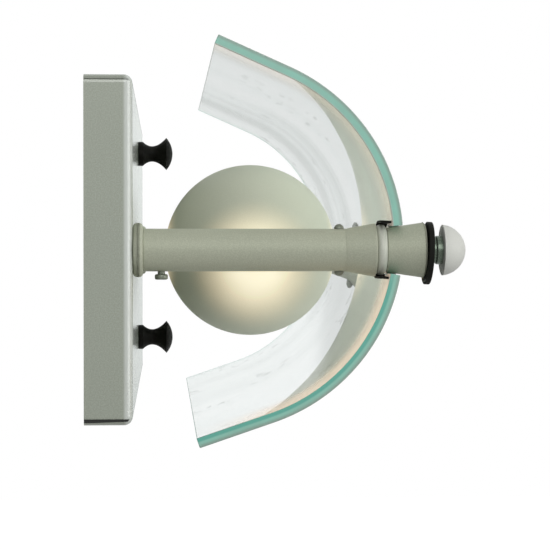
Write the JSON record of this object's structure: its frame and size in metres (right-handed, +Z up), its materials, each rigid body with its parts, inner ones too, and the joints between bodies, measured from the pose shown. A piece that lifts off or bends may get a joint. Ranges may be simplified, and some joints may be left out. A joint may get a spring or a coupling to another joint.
{
  "type": "half cylinder wall sconce",
  "caption": "Wall light: a slim box pan with arms that clamp a clear half cylinder glass in front of globe lamps, with waisted black knobs and half ball finials.",
  "frame": {"origin": "middle of the back, on the wall plane, at the crossbar and the middle of the pan's height", "axes": "+Y points into the wall, the light stands out towards -Y, +Z is up, X runs along the glass"},
  "size_m": [0.3814, 0.1718, 0.1832],
  "materials": {
    "pewter_pan": "fine speckled satin pewter paint",
    "pewter_arm": "satin pewter paint",
    "bright_ring": "bright satin",
    "satin_dome": "satin nickel",
    "dark_neck": "dark polished",
    "gunmetal": "dark nickel",
    "zinc_steel": "zinc plated",
    "black_knob": "matt black",
    "black_rubber": "matt",
    "clear_glass": "clear, polished edges",
    "frosted_glass": "frosted inside",
    "lamp_cap": "rolled",
    "lamp_stem": "clear",
    "porcelain": "glazed white",
    "contact_brass": "bright",
    "earth_green": "green",
    "lead_black": "soft",
    "lead_white": "soft",
    "lead_green": "soft",
    "connector_orange": "moulded"
  },
  "bodies": {
    "fixture": {"back_pan": "pewter_pan", "arm_flange_left": "pewter_arm", "arm_flange_right": "pewter_arm", "arm_tube_left": "pewter_arm", "arm_tube_right": "pewter_arm", "flared_collar_left": "pewter_arm", "flared_collar_right": "pewter_arm", "clamp_cone_left": "pewter_arm", "clamp_cone_right": "pewter_arm", "post_flange": "pewter_arm", "centre_post": "pewter_arm", "socket_hub": "pewter_arm", "socket_cup_left": "pewter_arm", "socket_cup_right": "pewter_arm", "clamp_ring_left": "bright_ring", "clamp_ring_right": "bright_ring", "collar_screws": "gunmetal", "mounting_crossbar": "zinc_steel", "mounting_studs": "zinc_steel", "stud_nuts": "zinc_steel", "arm_rod_left": "zinc_steel", "arm_rod_right": "zinc_steel", "rod_nuts": "zinc_steel", "rod_washers": "zinc_steel", "post_nut": "zinc_steel", "rubber_saddle_left": "black_rubber", "rubber_saddle_right": "black_rubber", "rubber_washer_left": "black_rubber", "rubber_washer_right": "black_rubber", "glass_shade": "clear_glass", "lamp_holder_left": "porcelain", "lamp_holder_right": "porcelain", "screw_shell_left": "contact_brass", "screw_shell_right": "contact_brass", "centre_contact_left": "contact_brass", "centre_contact_right": "contact_brass", "earth_screw": "earth_green", "live_leads": "lead_black", "neutral_leads": "lead_white", "earth_lead": "lead_green", "wire_connectors": "connector_orange"},
    "upper_knob": {"mounting_knob_upper": "black_knob"},
    "lower_knob": {"mounting_knob_lower": "black_knob"},
    "left_finial": {"finial_neck_left": "dark_neck", "finial_dome_left": "satin_dome"},
    "right_finial": {"finial_neck_right": "dark_neck", "finial_dome_right": "satin_dome"},
    "left_thumb_screw": {"thumb_screw_left": "gunmetal"},
    "right_thumb_screw": {"thumb_screw_right": "gunmetal"},
    "left_lamp": {"bulb_globe_left": "frosted_glass", "bulb_cap_left": "lamp_cap", "filament_stem_left": "lamp_stem"},
    "right_lamp": {"bulb_globe_right": "frosted_glass", "bulb_cap_right": "lamp_cap", "filament_stem_right": "lamp_stem"}
  },
  "joints": [
    {"name": "upper_knob_turn", "type": "hinge", "parent": "fixture", "child": "upper_knob", "pos_m": [0, -0.0215, 0.0525], "axis": [0, -1, 0], "continuous": true},
    {"name": "lower_knob_turn", "type": "hinge", "parent": "fixture", "child": "lower_knob", "pos_m": [0, -0.0215, -0.0475], "axis": [0, -1, 0], "continuous": true},
    {"name": "left_finial_turn", "type": "hinge", "parent": "fixture", "child": "left_finial", "pos_m": [-0.1765, -0.1528, 0], "axis": [0, -1, 0], "continuous": true},
    {"name": "right_finial_turn", "type": "hinge", "parent": "fixture", "child": "right_finial", "pos_m": [0.1765, -0.1528, 0], "axis": [0, -1, 0], "continuous": true},
    {"name": "left_thumb_screw_turn", "type": "hinge", "parent": "fixture", "child": "left_thumb_screw", "pos_m": [-0.1765, -0.0342, -0.0096], "axis": [0, 0, -1], "continuous": true},
    {"name": "right_thumb_screw_turn", "type": "hinge", "parent": "fixture", "child": "right_thumb_screw", "pos_m": [0.1765, -0.0342, -0.0096], "axis": [0, 0, -1], "continuous": true},
    {"name": "left_lamp_turn", "type": "hinge", "parent": "fixture", "child": "left_lamp", "pos_m": [-0.033, -0.0774, 0], "axis": [-1, 0, 0], "continuous": true},
    {"name": "right_lamp_turn", "type": "hinge", "parent": "fixture", "child": "right_lamp", "pos_m": [0.033, -0.0774, 0], "axis": [1, 0, 0], "continuous": true}
  ]
}
